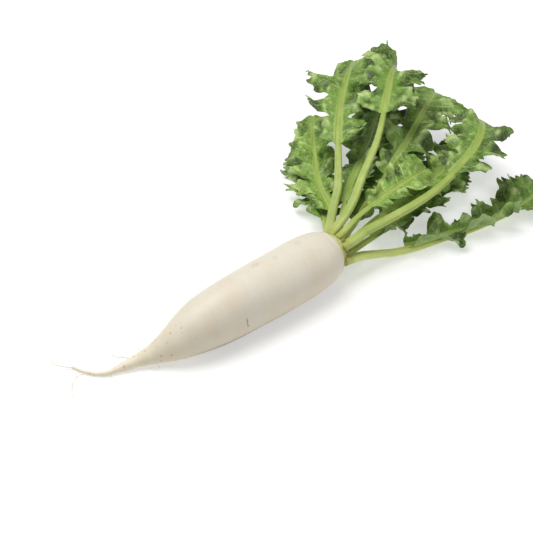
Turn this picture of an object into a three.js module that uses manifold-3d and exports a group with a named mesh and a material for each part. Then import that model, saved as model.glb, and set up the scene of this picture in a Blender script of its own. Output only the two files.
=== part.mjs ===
// A daikon radish as it is pulled and washed, lying on its side: one white taproot with its thin tail and
// rootlets, the short green crown at its thick end, and the leaves that fan out from the crown.
// Millimetres, +Z up. The radish rests on a small flat spot under its belly, which is the origin, and the
// root runs along X with its crown towards +X.
import * as THREE from "three";
import { mergeVertices } from "three/addons/utils/BufferGeometryUtils.js";
import Module from "manifold-3d";

const wasm = await Module();
wasm.setup();

// Driving dimensions
const ROOT_SIDES = 24; // facets round the root
const ROOT_RINGS = 40; // facets along it
const TOUCHING_GAP = 0.3; // left between pieces that touch
const CROWN_X = 114.5; // where the root ends and the crown begins
const CROWN_Y = 1;
const CROWN_Z = 35;
const CROWN_HEIGHT = 11;
const CROWN_FOOT = 18.8; // its radius where it meets the root
// Each fold and ridge of the crown's side: its radius, and its height above the root's end.
const CROWN_RINGS = [[19.4, 1.6], [18.2, 3], [18, 4.2], [16.2, 6], [15.4, 7.4], [11.5, 9.4], [6, 10.4]];
const CROWN_SIDES = 20;
const STALK_SIDES = 8;
const STALK_RINGS = 13;
const STALK_REACH = 0.93; // the share of the leaf's length that its stalk and rib run along
const STALK_FLARE = 0.12; // how much wider a stalk is where it leaves the crown
const FLARE_FADE = 8; // how far from the crown the flare fades
const STALK_THINNING = 1.02; // how much of its width it loses along the leaf
const THINNING_POWER = 1.3; // above 1 it keeps most of that width up to the leaf's middle
const THREAD_SHARE = 0.13; // the least share of its width, at the tip
const STALK_FLATNESS = 0.78; // a stalk's height over its width
const BLADE_THICKNESS = 0.8;
const RIB_WING = 0.7; // the narrowest strip of blade beside the rib
const EDGE_WAVE = 5.4; // how far the blade's edge waves up and down
const WAVE_STEP = 6.5; // along the rib for each radian of the wave
const LOBE_LEAN = 0.4; // how far a lobe leans towards the leaf's tip, for each mm of its reach

// Places along the root from the crown to the tail: [x, y, z] of its middle, and its radius there.
const ROOT_STATIONS = [
  { at: [CROWN_X, CROWN_Y, CROWN_Z], radius: 19.5 },
  { at: [111, 1, 35], radius: 23.6 },
  { at: [105, 1, 34.3], radius: 27 },
  { at: [94, 1, 33.6], radius: 30.6 },
  { at: [75, 1, 32.8], radius: 32.5 },
  { at: [45, 0, 32.2], radius: 33 },
  { at: [10, 0, 31.8], radius: 32.6 },
  { at: [-22, 0.5, 30.6], radius: 31.3 },
  { at: [-50, 1, 28.5], radius: 29 },
  { at: [-70, 2, 25.2], radius: 25.2 },
  { at: [-86, 4, 20.5], radius: 20 },
  { at: [-100, 8, 15.2], radius: 14.5 },
  { at: [-113, 13, 10.6], radius: 10 },
  { at: [-128, 18, 7.2], radius: 6.6 },
  { at: [-145, 22.5, 4.6], radius: 4 },
  { at: [-158, 26, 3.2], radius: 2.7 },
  { at: [-167, 33, 2.4], radius: 2 },
  { at: [-174, 43, 2.2], radius: 1.5 },
  { at: [-180, 56, 2], radius: 1 },
];

// Thin rootlets that grow out of the tail, each from inside it: its middle line, and its radius.
const ROOTLETS = [
  { path: [[-170, 38, 2.4], [-183, 40, 3.4], [-193, 34, 2], [-200, 22, 1.2]], radius: 0.7 },
  { path: [[-178, 52, 2], [-186, 60, 3], [-192, 72, 2], [-190, 84, 1.2]], radius: 0.65 },
  { path: [[-130, 18, 7], [-134, 28, 8], [-140, 40, 4], [-138, 54, 1.4]], radius: 0.75 },
];

// A side lobe's edge from its lower end, -1, to its upper end, 1, as shares of its reach: shallow teeth.
const SIDE_LOBE_EDGE = [
  [-1, 0.1], [-0.78, 0.7], [-0.42, 0.96], [-0.1, 0.84], [0.25, 1], [0.66, 0.8], [1, 0.1],
];
// The same for the large lobe at the leaf's end, from its lower end, -1, to the leaf's tip, 1.
const END_LOBE_EDGE = [
  [-1, 0.1], [-0.92, 0.5], [-0.74, 0.94], [-0.52, 0.84], [-0.28, 1], [-0.04, 0.86],
  [0.18, 0.92], [0.42, 0.7], [0.64, 0.62], [0.84, 0.36], [1, 0.08],
];
const END_LOBE_SHARE = 0.42; // the end lobe's share of the blade
const BLADE_COLUMNS = [-1, -0.5, 0, 0, 0.5, 1]; // shares of a half's reach, with the rib's strip
// The lowest and the highest side lobes: the share of its room that one fills to each side of its middle, its
// share of the leaf's reach, and the share of the sheet that is left in the notch above it.
const LOWEST_LOBES = { fill: 0.43, share: 0.42, web: 0.1 };
const HIGHEST_LOBES = { fill: 0.49, share: 0.95, web: 0.5 };
const TIP_WEB = 0.08; // the same share at the leaf's tip
// How far a lobe's reach, lift in radians, curl and slant may depart from its leaf's rule.
const UNEVENNESS = { reach: 0.22, lift: 0.66, curl: 0.6, slant: 0.8 };
const LONGEST_SLANT = 20; // the half length that a long lobe's slant is counted from

// The leaves. Each has its midrib's middle line from the crown to the tip, the way its upper side faces from
// the base to the tip, the stalk's half width at the base, where the lowest leaflet sits as a share of the
// length, the reach of the end lobe, how its two halves lift, in radians, and curl, in radians per mm, and a
// phase that sets its lobes and waves apart from those of the other leaves.
const LEAVES = [
  {
    name: "leaf_1",
    path: [[118, -14, 28.8], [143, -16, 24], [165, -17, 16], [190, -22, 9], [217, -28, 5.6],
      [257, -36, 4.2], [290, -44, 3.5], [341, -50, 3], [385, -49, 4], [430, -44, 3]],
    faces: [[0, 0.3, 1], [0, 0.45, 1], [0, 0.2, 1]],
    stalk: 7, bare: 0.28, reach: 36, pairs: 4, lift: 0.55, curl: -0.016, phase: 0.4,
  },
  {
    name: "leaf_2",
    path: [[118, -10.3, 45.2], [135, -11, 47], [151, -10, 49.5], [168, -14, 54], [191, -22, 63],
      [205, -26, 68], [243, -27, 75], [292, -18, 82], [330, -4, 86], [362, 18, 84], [386, 44, 72],
      [396, 68, 52]],
    faces: [[-0.3, 0.4, 1], [-0.3, 0.2, 1], [0, -0.6, 1]],
    stalk: 6.8, bare: 0.47, reach: 42, pairs: 3, lift: 0.15, curl: -0.024, phase: 1.9,
  },
  {
    name: "leaf_3",
    path: [[120, -0.7, 51], [138, 3, 54], [159, 7, 58], [185, 9, 62], [216, 12, 64], [250, 17, 63],
      [280, 24, 57]],
    faces: [[-0.5, 0.1, 1], [-0.5, -0.2, 1], [-0.2, -0.25, 1]],
    stalk: 3.8, bare: 0.34, reach: 28, pairs: 3, lift: 0.35, curl: -0.014, phase: 3.1,
  },
  {
    name: "leaf_4",
    path: [[119, 10.7, 47.2], [134, 14, 52.5], [148, 17, 59], [163, 22, 68], [188, 36, 80], [232, 60, 98],
      [280, 97, 111], [325, 135, 112], [362, 165, 98], [387, 185, 73]],
    faces: [[-0.5, 0.2, 1], [-0.5, -0.1, 1], [-0.3, -0.8, 0.8]],
    stalk: 5.6, bare: 0.5, reach: 46, pairs: 2, lift: 0.1, curl: -0.02, phase: 4.4,
  },
  {
    name: "leaf_5",
    path: [[118, 16.1, 37.3], [133, 26, 43], [152, 42, 51], [173, 58, 60], [198, 86, 72], [227, 119, 84],
      [266, 157, 92], [320, 203, 88], [368, 243, 72]],
    faces: [[-0.3, -0.3, 1], [-0.4, -0.3, 1], [-0.6, -0.4, 0.8]],
    stalk: 5.4, bare: 0.38, reach: 44, pairs: 3, lift: 0.12, curl: -0.018, phase: 5.2,
  },
  {
    name: "leaf_6",
    path: [[118, -3.5, 20.7], [138, -2, 22], [166, 3, 19], [203, 11, 13], [244, 20, 8], [290, 30, 4],
      [340, 44, 3], [385, 62, 3]],
    faces: [[0, 0.1, 1], [0, 0, 1], [0, 0, 1]],
    stalk: 4.4, bare: 0.22, reach: 28, pairs: 4, lift: 0.28, curl: -0.012, phase: 0.9,
  },
  {
    name: "leaf_7",
    path: [[118, 14.6, 28.1], [133, 28, 28], [153, 55, 22], [176, 90, 14], [200, 128, 7], [225, 167, 4],
      [247, 206, 3]],
    faces: [[0, -0.2, 1], [0, 0, 1], [0, 0, 1]],
    stalk: 4.6, bare: 0.24, reach: 36, pairs: 4, lift: 0.35, curl: -0.012, phase: 2.6,
  },
  {
    name: "leaf_8",
    path: [[122, -2, 31.5], [140, 1, 34], [160, 4, 37], [187, 9, 39], [221, 13, 39], [267, 20, 37],
      [324, 36, 31], [385, 62, 24], [420, 80, 17]],
    faces: [[-0.3, 0, 1], [-0.3, -0.3, 1], [0, -0.3, 1]],
    stalk: 3, bare: 0.25, reach: 30, pairs: 4, lift: 0.2, curl: -0.014, phase: 3.7,
  },
  {
    name: "leaf_9",
    path: [[119, 7, 21], [142, 15, 23], [174, 33, 20], [214, 56, 13], [258, 80, 7], [304, 106, 4],
      [350, 134, 3], [388, 158, 3]],
    faces: [[0, 0, 1], [0, 0, 1], [0, 0, 1]],
    stalk: 4.2, bare: 0.22, reach: 36, pairs: 4, lift: 0.27, curl: -0.012, phase: 5.9,
  },
  {
    name: "leaf_10",
    path: [[121, -0.5, 40.5], [140, 5, 43], [162, 14, 45], [189, 28, 47], [220, 40, 51], [245, 51, 55],
      [291, 69, 65.5], [335, 91, 71.4], [394, 127, 61.5], [420, 144, 51]],
    faces: [[-0.2, 0, 1], [-0.4, -0.2, 1], [-0.4, -0.6, 0.8]],
    stalk: 3.4, bare: 0.37, reach: 40, pairs: 3, lift: 0.15, curl: -0.02, phase: 0.1,
  },
  {
    name: "leaf_11",
    path: [[121, 5.8, 36.5], [140, 17, 41], [163, 38, 45], [197, 63, 48], [239, 92, 46], [291, 130, 39.5],
      [345, 171, 36], [378, 196, 30]],
    faces: [[-0.2, 0, 1], [-0.3, 0.3, 1], [-0.1, 0.4, 1]],
    stalk: 3.2, bare: 0.2, reach: 37, pairs: 4, lift: 0.15, curl: -0.018, phase: 1.2,
  },
  {
    name: "leaf_12",
    path: [[121, 5, 29], [131, 14, 33], [143, 29, 34], [167, 63, 30], [185, 101, 30.5], [211, 140, 36],
      [245, 183, 38], [280, 223, 32]],
    faces: [[-0.2, 0, 1], [-0.2, -0.2, 1], [-0.4, -0.3, 1]],
    stalk: 3, bare: 0.25, reach: 34, pairs: 4, lift: 0.2, curl: -0.018, phase: 2.2,
  },
];

// Materials
const rootSkin = new THREE.MeshStandardMaterial({ color: 0xeae4d6, roughness: 0.5, metalness: 0 });
const crownGreen = new THREE.MeshStandardMaterial({ color: 0xb9c46c, roughness: 0.55, metalness: 0 });
const stalkGreen = new THREE.MeshStandardMaterial({ color: 0xa3bd5b, roughness: 0.45, metalness: 0 });
const bladeGreen = new THREE.MeshStandardMaterial({ color: 0x4f8030, roughness: 0.6, metalness: 0 });

// Solids
const vector = (numbers) => new THREE.Vector3(...numbers);

function solidOf(geometry) {
  const bare = geometry.clone();
  bare.deleteAttribute("normal");
  bare.deleteAttribute("uv");
  const merged = mergeVertices(bare, 1e-4);
  const mesh = new wasm.Mesh({
    numProp: 3,
    vertProperties: merged.attributes.position.array,
    triVerts: new Uint32Array(merged.index.array),
  });
  return new wasm.Manifold(mesh);
}

function geometryOf(solid) {
  const mesh = solid.getMesh();
  const geometry = new THREE.BufferGeometry();
  geometry.setAttribute("position", new THREE.BufferAttribute(mesh.vertProperties, mesh.numProp));
  geometry.setIndex(new THREE.BufferAttribute(mesh.triVerts, 1));
  geometry.computeVertexNormals();
  return geometry;
}

// A cylinder bent and swelled: place(along, angle, out) says where each of its points goes, with along from
// 0 to 1, and out 1 on the wall and 0 in the middle of each end.
function swelledCylinder(sides, rings, place) {
  const geometry = new THREE.CylinderGeometry(1, 1, 1, sides, rings);
  const position = geometry.attributes.position;
  for (let i = 0; i < position.count; i++) {
    const [x, y, z] = [position.getX(i), position.getY(i), position.getZ(i)];
    const point = place(y + 0.5, Math.atan2(z, x), Math.hypot(x, z));
    position.setXYZ(i, point.x, point.y, point.z);
  }
  return geometry;
}

// The root
const rootMiddle = new THREE.CatmullRomCurve3(ROOT_STATIONS.map((s) => vector(s.at)));
const rootRadius = new THREE.SplineCurve(ROOT_STATIONS.map((s, i) => new THREE.Vector2(i, s.radius)));

// The root's skin, grown outwards by a margin. It sags onto the surface under it.
function rootGeometry(margin) {
  return swelledCylinder(ROOT_SIDES, ROOT_RINGS, (along, angle, out) => {
    const middle = rootMiddle.getPoint(1 - along);
    const forward = rootMiddle.getTangent(1 - along).negate();
    const side = new THREE.Vector3(0, 0, 1).cross(forward).normalize();
    const up = forward.clone().cross(side);
    const swell = 1 + 0.012 * Math.sin(2 * angle + 9 * along) + 0.008 * Math.sin(3 * angle - 14 * along);
    const radius = out * (rootRadius.getPoint(1 - along).y * swell + margin);
    const turn = angle + Math.PI / ROOT_SIDES; // one facet lies flat on the surface
    const point = middle
      .addScaledVector(forward, along === 1 ? margin : 0)
      .addScaledVector(side, -radius * Math.cos(turn))
      .addScaledVector(up, radius * Math.sin(turn));
    point.z = Math.max(point.z, 0);
    return point;
  });
}

function rootletGeometry({ path, radius }) {
  const curve = new THREE.CatmullRomCurve3(path.map(vector));
  const section = new THREE.Shape().absarc(0, 0, radius, 0, 2 * Math.PI);
  return new THREE.ExtrudeGeometry(section, { extrudePath: curve, steps: 9, curveSegments: 3 });
}

function makeRoot() {
  const whole = ROOTLETS.reduce(
    (solid, rootlet) => solid.add(solidOf(rootletGeometry(rootlet))),
    solidOf(rootGeometry(0)),
  );
  return geometryOf(whole);
}

// The crown
// The short stem that the leaves grow from: a low dome with the ring scars of leaves that have dropped.
function crownGeometry(margin) {
  const profile = [
    new THREE.Vector2(0, TOUCHING_GAP - margin),
    new THREE.Vector2(CROWN_FOOT + margin, TOUCHING_GAP - margin),
    ...CROWN_RINGS.map(([radius, height]) => new THREE.Vector2(radius + margin, height + margin)),
    new THREE.Vector2(0, CROWN_HEIGHT + margin),
  ];
  return new THREE.LatheGeometry(profile, CROWN_SIDES)
    .rotateZ(-Math.PI / 2)
    .translate(CROWN_X, CROWN_Y, CROWN_Z);
}

// Leaves
class Midrib {
  constructor(leaf) {
    this.curve = new THREE.CatmullRomCurve3(leaf.path.map(vector));
    this.length = this.curve.getLength();
    this.faces = new THREE.CatmullRomCurve3(leaf.faces.map(vector));
    this.base = leaf.stalk;
  }

  // Where the midrib is at a distance from its base, and which ways are forward, sideways and up there.
  at(distance) {
    const along = THREE.MathUtils.clamp(distance / this.length, 0, 1);
    const forward = this.curve.getTangentAt(along);
    const beyond = distance - along * this.length;
    const middle = this.curve.getPointAt(along).addScaledVector(forward, beyond);
    const side = forward.clone().cross(this.faces.getPoint(along)).normalize();
    return { middle, forward, side, up: side.clone().cross(forward) };
  }

  // Half the stalk's width: broad at the crown, and a thread at the tip.
  halfWidth(distance) {
    const along = THREE.MathUtils.clamp(distance / this.length, 0, 1);
    const flare = 1 + STALK_FLARE * Math.exp(-distance / FLARE_FADE);
    return this.base * flare * Math.max(THREAD_SHARE, 1 - STALK_THINNING * along ** THINNING_POWER);
  }

  // Half the stalk's height, at its channelled upper side and its round lower side.
  halfHeight(distance) {
    return STALK_FLATNESS * this.halfWidth(distance);
  }
}

function stalkGeometry(midrib) {
  const reach = STALK_REACH * midrib.length;
  return swelledCylinder(STALK_SIDES, STALK_RINGS, (along, angle, out) => {
    const distance = reach * along;
    const { middle, side, up } = midrib.at(distance);
    const turn = angle + Math.PI / STALK_SIDES;
    return middle
      .addScaledVector(side, out * midrib.halfWidth(distance) * Math.cos(turn))
      .addScaledVector(up, out * midrib.halfHeight(distance) * Math.sin(turn));
  });
}

// The leaf's lobes from the lowest to the end lobe, each with its middle, half length and share of the reach,
// and the share of the sheet that is left in the notch above it: the upper lobes run into each other.
function lobesOf(leaf, length) {
  const start = leaf.bare * length;
  const endHalf = (length - start) * END_LOBE_SHARE / 2;
  const spacing = (length - start - 2 * endHalf) / leaf.pairs;
  const lobes = [];
  for (let pair = 0; pair < leaf.pairs; pair++) {
    const grown = (pair + 1) / leaf.pairs;
    const between = (key) => THREE.MathUtils.lerp(LOWEST_LOBES[key], HIGHEST_LOBES[key], grown);
    const middle = start + spacing * (pair + 0.5);
    const half = spacing * between("fill");
    lobes.push({ middle, half, share: between("share"), edge: SIDE_LOBE_EDGE, web: between("web") });
  }
  lobes.push({ middle: length - endHalf, half: endHalf, share: 1, edge: END_LOBE_EDGE, web: TIP_WEB });
  return lobes;
}

// How a lobe departs from its leaf's rule on one side, most at its middle and not at all at its two ends, so
// that no two lobes lie alike and the sheet still runs on from one to the next.
function temper(leaf, lobe, number, distance, sign) {
  const turn = leaf.phase + 2.4 * number + 1.3 * sign;
  const place = (distance - lobe.middle) / lobe.half;
  const room = 1 - place ** 2;
  const freedom = room ** 2;
  return {
    reach: leaf.reach * lobe.share * (1 + UNEVENNESS.reach * freedom * Math.sin(2.3 * turn)),
    lift: leaf.lift + UNEVENNESS.lift * freedom * Math.sin(turn),
    curl: leaf.curl * (1 + UNEVENNESS.curl * freedom * Math.sin(1.7 * turn + 1)),
    tilt: UNEVENNESS.slant * Math.min(lobe.half, LONGEST_SLANT) * place * room * Math.sin(1.3 * turn + 2),
  };
}

// Where a point of a lobe lies and which way its upper side faces there, from its distance along the midrib
// and its share of the lobe's reach beyond the rib's strip.
function lobePoint(leaf, midrib, lobe, number, distance, sign, share) {
  const { reach, lift, curl, tilt } = temper(leaf, lobe, number, distance, sign);
  const beyond = RIB_WING + reach * share;
  const lean = LOBE_LEAN * THREE.MathUtils.smoothstep(1 - distance / midrib.length, 0, 0.4);
  const { middle, side, up } = midrib.at(distance + lean * beyond);
  const strip = midrib.halfWidth(distance) + BLADE_THICKNESS / 2;
  const turned = lift + curl * beyond;
  const wave = EDGE_WAVE * share ** 2 * Math.sin(distance / WAVE_STEP + 1.4 * sign + leaf.phase);
  const out = strip + (Math.sin(turned) - Math.sin(lift)) / curl;
  const rise = (Math.cos(lift) - Math.cos(turned)) / curl + wave + tilt * share;
  const seat = midrib.halfHeight(distance) + TOUCHING_GAP + BLADE_THICKNESS / 2;
  const point = middle.addScaledVector(side, sign * out).addScaledVector(up, seat + rise);
  point.z = Math.max(point.z, BLADE_THICKNESS);
  const normal = up.multiplyScalar(Math.cos(turned)).addScaledVector(side, -sign * Math.sin(turned));
  return { point, normal };
}

// A closed sheet of even thickness round a grid of points, split into triangles alike on both faces.
function thickSheet(grid, thickness) {
  const count = grid.attributes.position.count;
  const normal = grid.attributes.normal;
  const points = [];
  for (const half of [thickness / 2, -thickness / 2])
    for (let i = 0; i < count; i++)
      points.push(
        new THREE.Vector3()
          .fromBufferAttribute(grid.attributes.position, i)
          .addScaledVector(new THREE.Vector3().fromBufferAttribute(normal, i), half),
      );
  const faces = [];
  const once = new Map();
  const index = grid.index.array;
  for (let f = 0; f < index.length; f += 3) {
    const [a, b, c] = [index[f], index[f + 1], index[f + 2]];
    faces.push(a, c, b, a + count, b + count, c + count);
    for (const [from, to] of [[a, b], [b, c], [c, a]]) {
      if (!once.delete(to + "," + from)) once.set(from + "," + to, [from, to]);
    }
  }
  for (const [from, to] of once.values())
    faces.push(from, to, from + count, to, to + count, from + count);
  return new THREE.BufferGeometry().setFromPoints(points).setIndex(faces);
}

function bladeGeometry(leaf, midrib) {
  const lobes = lobesOf(leaf, midrib.length);
  const rows = lobes.flatMap((lobe, number) =>
    lobe.edge.map(([q, share]) => {
      const below = lobes[number - 1] ?? lobe;
      const web = q < 0 ? below.web : lobe.web;
      return { lobe, number, distance: lobe.middle + lobe.half * q, share: Math.max(share, web) };
    }),
  );
  const grid = new THREE.PlaneGeometry(1, 1, BLADE_COLUMNS.length - 1, rows.length - 1);
  rows.forEach(({ lobe, number, distance, share }, row) => {
    BLADE_COLUMNS.forEach((column, i) => {
      const sign = i < BLADE_COLUMNS.length / 2 ? -1 : 1;
      const out = Math.abs(column) * share;
      const { point, normal } = lobePoint(leaf, midrib, lobe, number, distance, sign, out);
      grid.attributes.position.setXYZ(row * BLADE_COLUMNS.length + i, ...point.toArray());
      grid.attributes.normal.setXYZ(row * BLADE_COLUMNS.length + i, ...normal.toArray());
    });
  });
  return thickSheet(grid, BLADE_THICKNESS);
}

// Assembly
function named(name, geometry, material) {
  const mesh = new THREE.Mesh(geometry, material);
  mesh.name = name;
  return mesh;
}

const radish = new THREE.Group();
radish.add(named("root", makeRoot(), rootSkin));
radish.add(named("crown", geometryOf(solidOf(crownGeometry(0))), crownGreen));

const crownRoom = solidOf(crownGeometry(TOUCHING_GAP)).add(solidOf(rootGeometry(TOUCHING_GAP)));
for (const leaf of LEAVES) {
  const midrib = new Midrib(leaf);
  const stalk = solidOf(stalkGeometry(midrib)).subtract(crownRoom);
  radish.add(named(leaf.name + "_stalk", geometryOf(stalk), stalkGreen));
  radish.add(named(leaf.name + "_blade", bladeGeometry(leaf, midrib), bladeGreen));
}

export default radish;
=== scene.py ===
# A daikon radish as it is pulled and washed, lying on its side on a plain pale floor: its white root with the
# thin tail and rootlets, the short green crown, and twelve lobed leaves on pale ribbed stalks.
import math

import bpy
import numpy as np
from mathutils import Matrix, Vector, noise


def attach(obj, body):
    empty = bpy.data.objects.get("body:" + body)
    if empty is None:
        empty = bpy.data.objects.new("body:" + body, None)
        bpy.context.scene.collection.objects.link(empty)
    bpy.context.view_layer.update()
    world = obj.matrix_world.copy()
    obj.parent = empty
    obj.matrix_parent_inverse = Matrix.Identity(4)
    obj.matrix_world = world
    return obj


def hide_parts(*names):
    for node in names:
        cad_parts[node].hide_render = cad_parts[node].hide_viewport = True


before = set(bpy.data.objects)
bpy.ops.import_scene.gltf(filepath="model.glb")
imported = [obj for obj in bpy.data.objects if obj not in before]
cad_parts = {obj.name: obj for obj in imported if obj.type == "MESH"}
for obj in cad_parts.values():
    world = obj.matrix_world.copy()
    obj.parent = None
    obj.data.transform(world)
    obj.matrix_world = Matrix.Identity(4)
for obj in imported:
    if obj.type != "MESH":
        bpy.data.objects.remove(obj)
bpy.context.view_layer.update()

bpy.ops.object.select_all(action="DESELECT")

# The view: the radish seen from a little above its side, turned so that the root runs up to the right and the
# leaves lie behind it, as a cook sees it on the table.
MM = 0.001
VIEW_TURN = math.radians(39)
VIEW_ABOVE = math.radians(40)
VIEW_DISTANCE = 1150 * MM
AIM = Vector((69.1, 57, 0)) * MM
AWAY = Vector((math.sin(VIEW_TURN), math.cos(VIEW_TURN), 0))
TO_THE_RIGHT = Vector((math.cos(VIEW_TURN), -math.sin(VIEW_TURN), 0))
LOOK = AWAY * math.cos(VIEW_ABOVE) - Vector((0, 0, math.sin(VIEW_ABOVE)))

bpy.ops.object.camera_add(
    location=AIM - LOOK * VIEW_DISTANCE,
    rotation=LOOK.to_track_quat("-Z", "Y").to_euler(),
)
camera = bpy.context.object
camera.name = "camera"
camera.data.lens = 70
camera.data.sensor_width = 36
camera.data.clip_start = 0.01
bpy.context.scene.camera = camera
bpy.context.scene.view_settings.view_transform = "Standard"


# The floor: a plain sheet of matt white paper, which the radish lies on, wide enough to run out of sight on
# all sides. It belongs to the picture and not to the radish.
def paint(colour):
    """A colour as it is read off a paint chart, "#rrggbb", in the linear light that the nodes work in."""
    parts = [int(colour[i : i + 2], 16) / 255 for i in (1, 3, 5)]
    return (*(p / 12.92 if p <= 0.04045 else ((p + 0.055) / 1.055) ** 2.4 for p in parts), 1)


def add_node(material, kind, sockets=(), out=0, **settings):
    """Adds a node with its settings, and a value or a link for each socket, and gives one of its outputs."""
    node = material.node_tree.nodes.new(kind)
    for name, value in settings.items():
        setattr(node, name, value)
    for name, value in dict(sockets).items():
        if isinstance(value, bpy.types.NodeSocket):
            material.node_tree.links.new(value, node.inputs[name])
        else:
            node.inputs[name].default_value = value
    return node.outputs[out]


def new_material(name, finish):
    """A material with the values that are the same all over its surface, and its shader's sockets."""
    material = bpy.data.materials.new(name)
    material.use_nodes = True
    shader = material.node_tree.nodes["Principled BSDF"].inputs
    for socket, value in finish.items():
        shader[socket].default_value = value
    return material, shader


FLOOR_WIDTH = 14  # in metres
FLOOR_GAP = 0.05 * MM  # keeps it clear of what lies flat on it
bpy.ops.mesh.primitive_plane_add(size=FLOOR_WIDTH, location=AIM - Vector((0, 0, FLOOR_GAP)))
floor = bpy.context.object
floor.name = "floor"
# Matt white paper on a light table: it scatters light evenly and glows a little, and more further out, so it
# shows no grey of its own and its shadows stay soft and pale.
paper, paper_shader = new_material("matt_white_paper", {
    "Base Color": paint("#c8c8c8"),
    "Roughness": 0.9,
    "Specular IOR Level": 0.1,
    "Emission Color": paint("#ffffff"),
})
place = add_node(paper, "ShaderNodeTexCoord", out="Object")
far_out = add_node(paper, "ShaderNodeVectorMath", {0: place}, out="Value", operation="LENGTH")
glow = add_node(
    paper,
    "ShaderNodeMapRange",
    {"Value": far_out, "From Min": 0.22, "From Max": 0.6, "To Min": 0.45, "To Max": 0.65},
)
paper.node_tree.links.new(glow, paper_shader["Emission Strength"])
floor.data.materials.append(paper)

# The light: a white room, with one large soft window overhead, a little behind the root on the left, and a
# smaller, weaker one on the right that reaches under the leaves.
ROOM_LIGHT = 0.17
world = bpy.data.worlds.new("white_room")
bpy.context.scene.world = world
world.use_nodes = True
world.node_tree.nodes["Background"].inputs["Color"].default_value = paint("#ffffff")
world.node_tree.nodes["Background"].inputs["Strength"].default_value = ROOM_LIGHT
# Each window's name, place from what the camera aims at, width in metres and power in watts.
WINDOWS = [
    ("window_overhead", AWAY * 0.1 - TO_THE_RIGHT * 0.35 + Vector((0, 0, 1.25)), 1.0, 19),
    ("window_on_the_right", TO_THE_RIGHT * 0.9 - AWAY * 0.35 + Vector((0, 0, 0.7)), 0.8, 3),
]
for name, place, size, energy in WINDOWS:
    bpy.ops.object.light_add(
        type="AREA",
        location=AIM + place,
        rotation=(-place).to_track_quat("-Z", "Y").to_euler(),
    )
    window = bpy.context.object
    window.name = name
    window.data.size = size
    window.data.energy = energy


# The root: a stout white taproot, grown in one piece with its thin tail and its rootlets. Its skin is smooth,
# with faint rings of growth, and it sags to a small flat spot where it lies.
def smooth_line(points, shares):
    """Where a stem that grew through these points is, at each share of their number."""
    points = np.array(points, float)
    with_ends = np.vstack([2 * points[0] - points[1], points, 2 * points[-1] - points[-2]])
    place = np.clip(shares, 0, 1) * (len(points) - 1)
    first = np.minimum(place.astype(int), len(points) - 2)
    rest = (place - first)[..., None]
    before, a, b, after = (with_ends[first + k] for k in range(4))
    step = np.linalg.norm(b - a, axis=-1, keepdims=True) ** 0.5
    step = np.where(step < 1e-4, 1, step)
    step_before = np.linalg.norm(a - before, axis=-1, keepdims=True) ** 0.5
    step_before = np.where(step_before < 1e-4, step, step_before)
    step_after = np.linalg.norm(after - b, axis=-1, keepdims=True) ** 0.5
    step_after = np.where(step_after < 1e-4, step, step_after)
    leave = (a - before) / step_before - (b - before) / (step_before + step) + (b - a) / step
    arrive = (b - a) / step - (after - a) / (step + step_after) + (after - b) / step_after
    leave, arrive = leave * step, arrive * step
    bend = 3 * (b - a) - 2 * leave - arrive
    return a + leave * rest + bend * rest**2 + (2 * (a - b) + leave + arrive) * rest**3


def smooth_values(values, shares):
    """The same for plain numbers, which stay level past both ends."""
    values = np.array(values, float)
    with_ends = np.concatenate([values[:1], values, values[-1:]])
    place = np.clip(shares, 0, 1) * (len(values) - 1)
    first = np.minimum(place.astype(int), len(values) - 2)
    rest = place - first
    before, a, b, after = (with_ends[first + k] for k in range(4))
    leave, arrive = (b - before) / 2, (after - a) / 2
    bend = 3 * (b - a) - 2 * leave - arrive
    return a + leave * rest + bend * rest**2 + (2 * (a - b) + leave + arrive) * rest**3


def unit(vectors):
    """The same directions, each one long."""
    return vectors / np.linalg.norm(vectors, axis=-1, keepdims=True)


def relief(points, size, seed=0):
    """Smooth random heights from about -1 to 1 at these points, with bumps of about this size."""
    shift = Vector((17.3 * seed, 5.1 * seed, 9.7 * seed))
    return np.array([noise.noise(Vector(p) / size + shift) for p in points])


def new_grid(name, across, along):
    """A flat grid of quads, and the place of each of its points as shares of its width and its length."""
    bpy.ops.object.select_all(action="DESELECT")
    bpy.ops.mesh.primitive_grid_add(x_subdivisions=across, y_subdivisions=along, size=1)
    grid = bpy.context.object
    grid.name = name
    flat = np.zeros(len(grid.data.vertices) * 3)
    grid.data.vertices.foreach_get("co", flat)
    flat = flat.reshape(-1, 3) + 0.5
    return grid, flat[:, 0], flat[:, 1]


def shape(grid, points):
    """Moves the grid's points to these places, in millimetres."""
    grid.data.vertices.foreach_set("co", (np.asarray(points) * MM).ravel())
    grid.data.update()


def close_tube():
    """Joins the long edges of the active grid, now rolled up, fills its ends and turns its faces out."""
    bpy.ops.object.mode_set(mode="EDIT")
    bpy.ops.mesh.select_all(action="SELECT")
    bpy.ops.mesh.remove_doubles(threshold=1e-6)
    bpy.ops.mesh.select_all(action="SELECT")
    bpy.ops.mesh.fill_holes(sides=0)
    bpy.ops.mesh.normals_make_consistent(inside=False)
    bpy.ops.object.mode_set(mode="OBJECT")
    bpy.ops.object.shade_smooth()


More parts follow.
